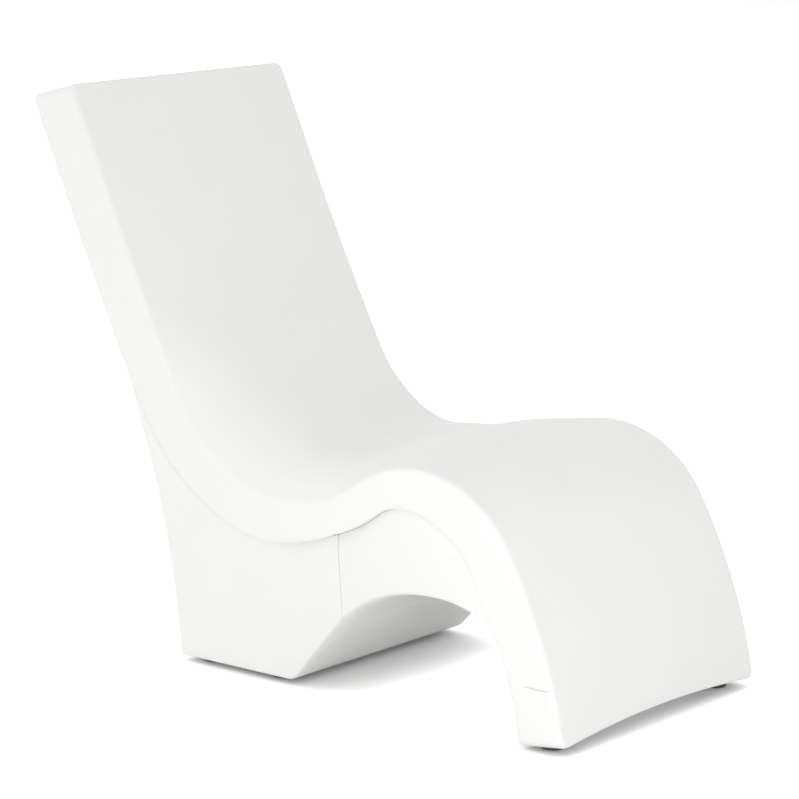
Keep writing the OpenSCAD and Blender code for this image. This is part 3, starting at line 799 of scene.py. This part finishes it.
def tunnels_in_web(fittings):
    """Centres of the three bolt tunnels in the web."""
    low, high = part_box("arch_tunnel_caps")
    y, r = (low.y + high.y) / 2, fittings.cap / 2
    return [(low.x + r, y), (0.0, y), (high.x - r, y)]


def dent(name, place, size):
    """A shallow lens, to press a mark into a side."""
    lens = start(bpy.ops.mesh.primitive_uv_sphere_add, name, segments=48, ring_count=24, radius=1)
    for v in lens.data.vertices:
        v.co = Vector(place) + Vector(a * b for a, b in zip(v.co, size))
    return lens


class LOUNGER_OT_pedestal(bpy.types.Operator):
    """Models the pedestal that holds the ballast, with its plug pockets and bolt tunnels"""

    bl_idname = "lounger.pedestal"
    bl_label = "Pedestal"

    def lines(self, base):
        p, line = base.p, base.line
        seam_top = (base.seam, height_at(base.below, base.seam))
        foot = rounded([
            (base.seam, p.seam_height, 0), (base.front, p.stand, p.front_round),
            (base.rear, p.stand, 0.004), (base.rear, p.rear_height, 0),
        ], 8)
        front, rear = foot[:10], foot[9:19]
        rise = [(base.rear_at(z), z) for z in (
            p.rear_height + (base.tip[1] - p.rear_height) * k / 40 for k in range(41))]
        tip = line.under(p.top_station, p.gap)
        top = [seam_top] + [q for q in base.below if base.seam < q[0] < tip[0] and q[1] < tip[1]] + [tip]
        first = [q for q in top if q[0] <= base.front - 0.06]
        middle = [q for q in top if base.front - 0.06 <= q[0] <= base.rear - 0.07]
        last = [q for q in top if q[0] >= base.rear - 0.07]
        first.append(middle[0])
        last.insert(0, middle[-1])
        lower, upper = [], []
        for below, above, n in ((front, first, 34), (rear, middle, 40), (rise, last, 56)):
            lower += spread(below, n)[(1 if lower else 0):]
            upper += spread(above, n)[(1 if upper else 0):]
        return lower, upper

    def execute(self, context):
        p, f = context.scene.lounger_base, context.scene.lounger_fittings
        base = Base(p, SideLine(context.scene.lounger_slab))
        lower, upper = self.lines(base)
        reach, insets, softness = 0.0, [], []
        for k, q in enumerate(lower):
            reach += math.dist(q, lower[k - 1]) if k else 0.0
            insets.append(drawn_in(p.seam_edge, reach))
            softness.append(1 - eased(reach / 0.20))
        shares = [eased((base.tip[0] - y) / 0.05) for y, z in upper]

        def half_at(_y, z):
            """The sides draw in up to the thin upper edge, which hides under the slab's round."""
            return base.half_width(z) - p.crease_in * eased((z - base.tip[1]) / 0.06 + 1)

        piece = moulding("pedestal_moulding", lower, upper, half_at, insets, shares, softness, p)
        cutters = []
        for z in (p.fill_height, p.drain_height):
            floor = base.pocket_floor(z)
            steps = (
                (p.pocket, floor, floor + 0.2), (f.bush, floor - f.bush_length, floor + 0.01),
                (f.plug, floor - 0.08, floor))
            for diameter, low, high in steps:
                cutters.append(start(
                    bpy.ops.mesh.primitive_cylinder_add, "pocket_cutter", vertices=96,
                    radius=diameter / 2, depth=high - low, location=(0, (low + high) / 2, z),
                    rotation=(math.pi / 2, 0, 0),
                ))
        for x, y in centres("pedestal_tunnel_caps", f.cap):
            roof = height_at(base.below, y) - 0.045
            cutters.append(cylinder("tunnel_cutter", f.tunnel, -0.05, roof, x, y))
        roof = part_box("pedestal_pads")[1].z
        for x, y in centres("pedestal_pads", f.pad):
            cutters.append(cylinder("pad_cutter", f.pad, -0.05, roof, x, y))
        carve(piece, cutters)
        settle(piece, finish_of("rotomoulded_polyethylene"), "shell", CHAIR, "pedestal_shell", angle=30)
        return {"FINISHED"}


class LOUNGER_OT_web(bpy.types.Operator):
    """Models the arched web under the knees"""

    bl_idname = "lounger.web"
    bl_label = "Arched web"

    def execute(self, context):
        p, f = context.scene.lounger_base, context.scene.lounger_fittings
        line = SideLine(context.scene.lounger_slab)
        base = Base(p, line)
        crest = (line.crest()[0] - p.arch_crest_in, p.arch_height)
        foot = line.under(p.arch_station, p.gap)
        seam = (base.seam - p.seam_open, p.seam_height)
        high = line.crest()[1]
        flush = base.half - p.arch_in

        def low_at(y):
            end = seam if y > crest[0] else foot
            radius = arc_radius(crest[1] - end[1], abs(end[0] - crest[0]))
            return crest[1] - radius + math.sqrt(radius ** 2 - (y - crest[0]) ** 2)

        def half_at(y, z):
            """The sides run from the pedestal's draft at the seam out to the slab's side."""
            t = (y - foot[0]) / (seam[0] - foot[0])
            u = (z - seam[1]) / (high - seam[1])
            low_seam, high_seam = base.half_width(seam[1]), base.half_width(high)
            lower = flush + (low_seam - flush) * t + (high_seam - low_seam) * u
            upper = flush + (high_seam - flush) * t
            soft = 0.006
            return (lower + upper - math.sqrt((lower - upper) ** 2 + soft ** 2)) / 2

        under = [line.under(p.arch_station + 0.002 * k, p.gap) for k in range(400)]
        under = [q for q in under if q[0] < seam[0]] + [(seam[0], height_at(base.below, seam[0]))]
        arch = [(y, low_at(y)) for y in (foot[0] + (seam[0] - foot[0]) * k / 200 for k in range(201))]
        arch[0] = foot
        lower, upper = spread(arch, 110), spread(under, 110)
        tail = [p.seam_edge * math.sin(math.pi / 2 * k / 4) for k in range(1, 5)]
        for points in (lower, upper):
            last, before = Vector(points[-1]), Vector(points[-2])
            way = (last - before).normalized()
            points.pop()
            points += [tuple(last - way * (p.seam_edge - t)) for t in [0.0] + tail]
        insets = [0.0] * (len(lower) - 4) + [drawn_in(p.seam_edge, p.seam_edge - t) for t in tail]
        shares = [eased((math.dist(q, foot) - p.crease_from) / p.crease_grow) for q in upper]
        softness = [eased((y - crest[0]) / (seam[0] - crest[0])) for y, z in lower]
        web = moulding("arched_web", lower, upper, half_at, insets, shares, softness, p)
        cutters = [
            cylinder("tunnel_cutter", f.tunnel, 0.0, p.arch_height + 0.05, x, y)
            for x, y in tunnels_in_web(f)]
        low, high_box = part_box("arch_vent_plug")
        x, y = (low.x + high_box.x) / 2, (low.y + high_box.y) / 2
        floor = low.z + f.vent_height
        cutters.append(cylinder("vent_cutter", f.vent_head + 0.001, 0.0, floor, x, y))
        cutters.append(cylinder("vent_cutter", f.vent + 0.0001, 0.0, floor + f.vent_length, x, y))
        cutters.append(dent("side_mark", (-flush, -0.216, 0.3012), (0.0035, 0.015, 0.0014)))
        carve(web, cutters)
        settle(web, finish_of("rotomoulded_polyethylene"), "shell", CHAIR, "arch_shell", angle=30)
        return {"FINISHED"}


def at_plug(base, height):
    """Where a plug sits, with +Z out of the rear face."""
    return Matrix.Translation((0, base.pocket_floor(height), height)) @ Matrix.Rotation(-math.pi / 2, 4, "X")


def ridge(angle, height, pitch, wide, slope):
    """Share of a right-handed thread's depth at a place, for a ridge of a width and flanks as shares."""
    off = abs((height / pitch - angle / (2 * math.pi)) % 1 - 0.5)
    return min(1.0, max(0.0, (wide / 2 + slope - off) / slope))


def threaded(name, outline, shape, steps=96):
    """An outline of (radius, height) turned about Z, with its radius changed by a shape."""
    def place(i, j):
        radius, height = outline[j % len(outline)]
        angle = 2 * math.pi * i / steps
        radius = shape(angle, radius, height)
        return Vector((radius * math.cos(angle), radius * math.sin(angle), height))
    return skin(name, steps, len(outline), place)


def climb(low, high, step):
    """Even heights from one to another."""
    n = max(1, round((high - low) / step))
    return [low + (high - low) * k / n for k in range(n + 1)]


class LOUNGER_OT_plugs(bpy.types.Operator):
    """Models the fill and drain plugs with their bushes and gaskets"""

    bl_idname = "lounger.plugs"
    bl_label = "Plugs"

    SCALLOPS, GRIP_POINTS = 24, 48

    def bar(self, f):
        """The finger bar across the flange, drawn in at its middle."""
        bar = start(
            bpy.ops.mesh.primitive_circle_add, "finger_bar", vertices=self.GRIP_POINTS, radius=1,
            fill_type="NGON")
        low, high = f.gasket + f.flange_height / 2, f.gasket + f.flange_height + f.bar_height
        for v in bar.data.vertices:
            x, y = (math.copysign(abs(c) ** 0.45, c) for c in (v.co.x, v.co.y))
            waist = 1 - 0.3 * (1 - x * x)
            v.co = (x * f.bar_length / 2, y * waist * f.bar / 2, low)
        in_edit(
            bar, "FACE", everything,
            lambda: bpy.ops.mesh.extrude_region_move(TRANSFORM_OT_translate={"value": (0, 0, high - low)}))
        middle = (low + high) / 2
        in_edit(
            bar, "EDGE", lambda e: all(bar.data.vertices[k].co.z > middle for k in e.vertices),
            lambda: bpy.ops.mesh.bevel(offset=0.0018, segments=4, affect="EDGES"))
        in_edit(bar, "VERT", everything, weld)
        return bar

    def plug(self, f):
        r, core, rim = f.plug / 2, f.plug / 2 - f.thread, f.flange / 2
        low, seat = f.gasket - f.plug_length, f.gasket
        face = seat + f.flange_height
        first, last = low + 0.0012, seat - 0.0022
        heights = climb(first, last, f.pitch / 10)

        def shape(angle, radius, height):
            if radius == core and first <= height <= last:
                ends = min(1.0, (height - first) / f.pitch, (last - height) / f.pitch)
                return core + f.thread * ridge(angle, height, f.pitch, 0.24, 0.16) * max(0.0, ends)
            if radius > rim - 0.0008 and seat < height < face:
                return radius - 0.0006 * (0.5 + 0.5 * math.cos(self.SCALLOPS * angle))
            return radius

        outline = [(0.0, low + 0.0015), (core - 0.004, low + 0.0015)]
        outline += [(core - 0.005, low), (core - 0.001, low)]
        outline += [(core, z) for z in heights]
        outline += [(core, seat), (rim - 0.0009, seat), (rim - 0.0002, seat + 0.0007), (rim, seat + 0.0016)]
        outline += [(rim, face - 0.0022), (rim - 0.0004, face - 0.0009), (rim - 0.0014, face - 0.0001)]
        outline += [(rim - 0.0022, face), (rim - 0.0050, face), (rim - 0.0062, face - 0.0008)]
        outline += [(0.012, face - 0.0008), (0.0, face - 0.0008)]
        plug = threaded("plug", outline, shape)
        carve(plug, [self.bar(f)], "UNION")
        return plug

    def bush(self, f):
        r, bore, low = f.bush / 2, f.plug / 2 + 0.0001, -f.bush_length
        depth = 0.0012

        def shape(angle, radius, height):
            if radius != bore:
                return radius
            ends = max(0.0, min(1.0, (height - low) / f.pitch, -height / f.pitch))
            return bore - depth * ridge(angle, height + f.pitch / 2, f.pitch, 0.20, 0.10) * ends

        outline = [(bore, z) for z in reversed(climb(low + 0.0004, -0.0004, f.pitch / 10))]
        outline += [(bore + 0.0004, low), (r - 0.0008, low), (r, low + 0.0008)]
        for middle in (low * 0.7, low * 0.3):
            outline += [(r, middle - 0.0020), (r - 0.0012, middle - 0.0012)]
            outline += [(r - 0.0012, middle + 0.0012), (r, middle + 0.0020)]
        outline += [(r, -0.0004), (r - 0.0004, 0.0), (bore + 0.0004, 0.0)]
        return threaded("bush", outline, shape)

    def gasket(self, f):
        inner, outer = f.plug / 2 + 0.0001, f.flange / 2 - f.wall / 2
        return spun("gasket", rounded([
            (inner, 0.0, 0.0004), (outer, 0.0, 0.0007),
            (outer, f.gasket, 0.0007), (inner, f.gasket, 0.0004)]))

    def execute(self, context):
        f = context.scene.lounger_fittings
        base = Base(context.scene.lounger_base, SideLine(context.scene.lounger_slab))
        for name, height in (("fill", base.p.fill_height), ("drain", base.p.drain_height)):
            parts = (
                (self.plug(f), "plug", "moulded_polypropylene", "plugs", f"{name}_cap", 30),
                (self.bush(f), "bush", "moulded_nylon", "bushes", CHAIR, 30),
                (self.gasket(f), "gasket", "seal_rubber", "gaskets", f"{name}_seal", 40),
            )
            for piece, kind, finish, slot, body, angle in parts:
                piece.name = piece.data.name = f"{name}_{kind}_piece"
                piece.matrix_world = at_plug(base, height)
                settle(piece, finish_of(finish), slot, body, f"{name}_{kind}", angle=angle)
        return {"FINISHED"}


class LOUNGER_OT_caps(bpy.types.Operator):
    """Models the push-in caps of the bolt tunnels and the vent plugs"""

    bl_idname = "lounger.caps"
    bl_label = "Caps and vent plugs"

    def cap(self, f):
        """A dished cap, face down, with a skirt and a notch to prise it out by."""
        r, face, top = f.cap / 2, f.wall / 2, 2 * f.wall
        inner = r - f.wall / 2
        cap = spun("tunnel_cap", rounded([
            (0.0, 0.0012, 0), (r - 0.006, 0.0008, 0.004), (r - 0.003, 0.0, 0.0015), (r, 0.0, 0.0009),
            (r, top, 0.0006), (inner, top, 0.0006), (inner, face, 0.0012), (0.0, face, 0)]), 72)
        notch = start(
            bpy.ops.mesh.primitive_cylinder_add, "notch_cutter", vertices=32, radius=0.0022,
            depth=0.0036, location=(0, -r, 0))
        carve(cap, [notch])
        return cap

    def vent(self, f):
        """A push-in plug with a low dome and barbs on its shank."""
        r, head, low, high = f.vent / 2, f.vent_head / 2, -f.vent_length, f.vent_height
        outline = [(0.0, low), (r - 0.0012, low), (r - 0.0003, low + 0.0012)]
        for k in range(3):
            z = low + 0.0022 + 0.0022 * k
            outline += [(r, z), (r, z + 0.0006), (r - 0.0006, z + 0.0009)]
        outline += [(r - 0.0004, 0.0), (head - 0.0003, 0.0), (head, 0.0004)]
        edge = 0.6 * high
        for k in range(9):
            a = math.pi / 2 * k / 8
            outline.append((head * math.cos(a), edge + (high - edge) * math.sin(a)))
        return spun("vent_plug", outline, 48)

    def execute(self, context):
        f = context.scene.lounger_fittings
        base = context.scene.lounger_base
        line = SideLine(context.scene.lounger_slab)
        plastic = finish_of("moulded_polypropylene")
        rows = (
            ("pedestal_tunnel_caps", [(x, y, base.stand) for x, y in centres("pedestal_tunnel_caps", f.cap)]),
            ("arch_tunnel_caps", [(x, y, base.arch_height) for x, y in tunnels_in_web(f)]),
        )
        for node, places in rows:
            caps = copies(self.cap(f), places)
            caps.name = caps.data.name = f"{node}_piece"
            settle(caps, plastic, "caps", CHAIR, node, angle=30)
        low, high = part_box("arch_vent_plug")
        middle = (low + high) / 2
        turned = Matrix.Rotation(math.pi, 4, "X")
        seat = Matrix.Translation((middle.x, middle.y, low.z + f.vent_height)) @ turned
        for node, place in (("slab_vent_plug", slab_vent(line)), ("arch_vent_plug", seat)):
            plug = self.vent(f)
            plug.name = plug.data.name = f"{node}_piece"
            plug.matrix_world = place
            settle(plug, plastic, "caps", CHAIR, node, angle=30)
        return {"FINISHED"}


class LOUNGER_OT_pads(bpy.types.Operator):
    """Models the rubber pads and the screws that hold them"""

    bl_idname = "lounger.pads"
    bl_label = "Pads and screws"

    def pad(self, f, diameter, roof):
        """A pad with ring grooves in its tread and a stepped bore for its screw."""
        r, head, shank = diameter / 2, f.screw_head / 2 + 0.0005, f.screw / 2 + 0.0005
        seat = roof - f.screw_seat
        outline = [(shank, roof), (shank, seat), (head, seat), (head, 0.0006), (head + 0.0006, 0.0)]
        x = head + 0.0030
        while x + 0.0042 < r:
            outline += [(x, 0.0), (x + 0.0003, f.tread), (x + 0.0017, f.tread), (x + 0.0020, 0.0)]
            x += 0.0042
        outline += [(r - 0.0016, 0.0), (r - 0.0005, 0.0005), (r, 0.0016), (r, roof)]
        return spun("pad", outline, 72)

    def screw(self, f):
        """A pan-head screw, point up, with a hexagon socket."""
        r, head, high = f.screw / 2, f.screw_head / 2, f.screw_height
        outline = [(0.0, f.screw_length), (r - 0.001, f.screw_length), (r, f.screw_length - 0.001), (r, 0.0)]
        outline += [(head - 0.0003, 0.0), (head, -0.0003)]
        for k in range(9):
            a = math.pi / 2 * k / 8
            outline.append((head * math.cos(a) ** 0.6, -0.3 * high - 0.7 * high * math.sin(a)))
        screw = spun("pad_screw", outline, 48)
        socket = start(
            bpy.ops.mesh.primitive_cylinder_add, "socket_cutter", vertices=6, radius=0.0023,
            depth=2 * high - 0.0026, location=(0, 0, -high))
        carve(screw, [socket])
        return screw

    def execute(self, context):
        f = context.scene.lounger_fittings
        places = {}
        for node, diameter in (("pedestal_pads", f.pad), ("toe_pads", f.toe_pad)):
            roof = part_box(node)[1].z
            spots = centres(node, diameter)
            places[roof - f.screw_seat] = spots
            pads = copies(self.pad(f, diameter, roof), [(x, y, 0) for x, y in spots])
            pads.name = pads.data.name = f"{node}_piece"
            settle(pads, finish_of("pad_rubber"), "pads", CHAIR, node, angle=30)
        screws = copies(self.screw(f), [(x, y, z) for z, spots in places.items() for x, y in spots])
        screws.name = screws.data.name = "pad_screws_piece"
        settle(screws, finish_of("stainless_steel"), "fasteners", CHAIR, "pad_screws", angle=30)
        return {"FINISHED"}


class LOUNGER_OT_fasteners(bpy.types.Operator):
    """Gives the bolts, washers and inserts inside the mouldings their metals"""

    bl_idname = "lounger.fasteners"
    bl_label = "Fasteners"

    METALS = {
        "stainless_steel": ("pedestal_bolts", "pedestal_washers", "arch_bolts", "arch_washers"),
        "brass": ("pedestal_inserts", "arch_inserts", "pad_inserts"),
    }

    def execute(self, context):
        for metal, nodes in self.METALS.items():
            for node in nodes:
                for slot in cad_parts[node].material_slots:
                    slot.material = finish_of(metal)
        return {"FINISHED"}


class LOUNGER_OT_stage(bpy.types.Operator):
    """Sets the floor, the lamps and the camera"""

    bl_idname = "lounger.stage"
    bl_label = "Stage"

    def lobes(self, tree, where, side, strengths):
        """Soft light from the three walls on one side of the axes, each by the square of its share."""
        turned = add_node(tree, "ShaderNodeVectorMath", {0: where}, operation="SCALE", scale=side)
        ahead = add_node(tree, "ShaderNodeVectorMath", {0: turned.outputs[0]}, operation="MAXIMUM")
        ahead.inputs[1].default_value = (0, 0, 0)
        square = add_node(
            tree, "ShaderNodeVectorMath", {0: ahead.outputs[0], 1: ahead.outputs[0]}, operation="MULTIPLY")
        total = add_node(tree, "ShaderNodeVectorMath", {0: square.outputs[0]}, operation="DOT_PRODUCT")
        total.inputs[1].default_value = strengths
        return total.outputs["Value"]

    def lamp(self, name, place, aim, size, power):
        bpy.ops.object.select_all(action="DESELECT")
        bpy.ops.object.light_add(type="AREA", location=place)
        lamp = bpy.context.object
        lamp.name = name
        lamp.rotation_euler = (Vector(aim) - Vector(place)).to_track_quat("-Z", "Y").to_euler()
        lamp.data.shape = "RECTANGLE"
        lamp.data.size, lamp.data.size_y = size
        lamp.data.energy = power

    def execute(self, context):
        p = context.scene.lounger_stage
        scene = context.scene
        floor = start(bpy.ops.mesh.primitive_plane_add, "floor", size=30)
        material, tree = new_material("studio_floor")
        seen = add_node(tree, "ShaderNodeLightPath")
        paper = add_node(tree, "ShaderNodeBsdfDiffuse")
        paper.inputs["Color"].default_value = p.floor
        # the camera sees the open floor white; close to the object that white fades by ambient occlusion, a
        # painted contact shade laid over the floor's own real shadow
        clear = add_node(tree, "ShaderNodeAmbientOcclusion", samples=16, distance=p.contact)
        near = add_node(tree, "ShaderNodeMath", {0: clear.outputs["AO"]}, operation="POWER")
        near.inputs[1].default_value = 2
        white = add_node(tree, "ShaderNodeMath", {0: near.outputs[0]}, operation="MULTIPLY")
        white.inputs[1].default_value = p.sheet
        sheet = add_node(tree, "ShaderNodeEmission", {"Strength": white.outputs[0]})
        both = add_node(tree, "ShaderNodeAddShader", {0: paper.outputs[0], 1: sheet.outputs[0]})
        mixed = add_node(
            tree, "ShaderNodeMixShader",
            {0: seen.outputs["Is Camera Ray"], 1: paper.outputs[0], 2: both.outputs[0]},
        )
        close_material(tree, mixed)
        floor.data.materials.append(material)

        world = bpy.data.worlds.new("studio")
        scene.world = world
        world.use_nodes = True
        tree = world.node_tree
        tree.nodes.clear()
        seen = add_node(tree, "ShaderNodeLightPath")
        direct = seen.outputs["Is Camera Ray"]
        for kind in ("Is Glossy Ray", "Is Transmission Ray"):
            direct = add_node(
                tree, "ShaderNodeMath", {0: direct, 1: seen.outputs[kind]}, operation="MAXIMUM").outputs[0]
        where = add_node(tree, "ShaderNodeTexCoord").outputs["Generated"]
        ahead = self.lobes(tree, where, 1, (p.right, p.rear, p.top))
        behind = self.lobes(tree, where, -1, (p.left, p.front, 0))
        room = add_node(tree, "ShaderNodeMath", {0: ahead, 1: behind}, operation="ADD")
        ambient = add_node(tree, "ShaderNodeBackground", {"Strength": room.outputs[0]})
        white = add_node(tree, "ShaderNodeBackground", strength=1.0)
        ambient.inputs["Color"].default_value = white.inputs["Color"].default_value = (1, 1, 1, 1)
        mixed = add_node(
            tree, "ShaderNodeMixShader",
            {0: direct, 1: ambient.outputs[0], 2: white.outputs[0]},
        )
        add_node(tree, "ShaderNodeOutputWorld", {"Surface": mixed.outputs[0]})
        self.lamp("low_softbox", (-2.4, -2.6, 0.5), (0, 0, 0.5), (2.0, 0.8), p.lamp)

        bpy.ops.object.camera_add(
            location=(-4.63139, -3.80223, 1.67802),
            rotation=(math.radians(90 - 11.2943), 0, -math.radians(50.3568)),
        )
        camera = bpy.context.object
        camera.data.sensor_width = 36
        camera.data.lens = 146.788
        camera.data.shift_x, camera.data.shift_y = 0.03142, 0.01603
        camera.data.clip_end = 60
        scene.camera = camera
        scene.view_settings.view_transform = "Standard"
        return {"FINISHED"}


class LOUNGER_PT_panel(bpy.types.Panel):
    """Lists what the lounger is built of"""

    bl_label = "Lounger"
    bl_idname = "LOUNGER_PT_panel"
    bl_space_type = "VIEW_3D"
    bl_region_type = "UI"
    bl_category = "Lounger"

    def draw(self, _context):
        for step in STEPS:
            self.layout.operator(step.bl_idname)


GROUPS = {
    "lounger_slab": SlabSizes,
    "lounger_base": BaseSizes,
    "lounger_fittings": FittingSizes,
    "lounger_finishes": Finishes,
    "lounger_stage": StageSizes,
}
STEPS = (
    LOUNGER_OT_slab, LOUNGER_OT_pedestal, LOUNGER_OT_web, LOUNGER_OT_plugs, LOUNGER_OT_caps,
    LOUNGER_OT_pads, LOUNGER_OT_fasteners, LOUNGER_OT_stage,
)


def register():
    for name, group in GROUPS.items():
        bpy.utils.register_class(group)
        setattr(bpy.types.Scene, name, PointerProperty(type=group))
    for step in (*STEPS, LOUNGER_PT_panel):
        bpy.utils.register_class(step)


def unregister():
    for step in (LOUNGER_PT_panel, *reversed(STEPS)):
        bpy.utils.unregister_class(step)
    for name, group in reversed(GROUPS.items()):
        delattr(bpy.types.Scene, name)
        bpy.utils.unregister_class(group)


def main():
    register()
    for step in STEPS:
        area, name = step.bl_idname.split(".")
        getattr(getattr(bpy.ops, area), name)()


if __name__ == "__main__":
    main()
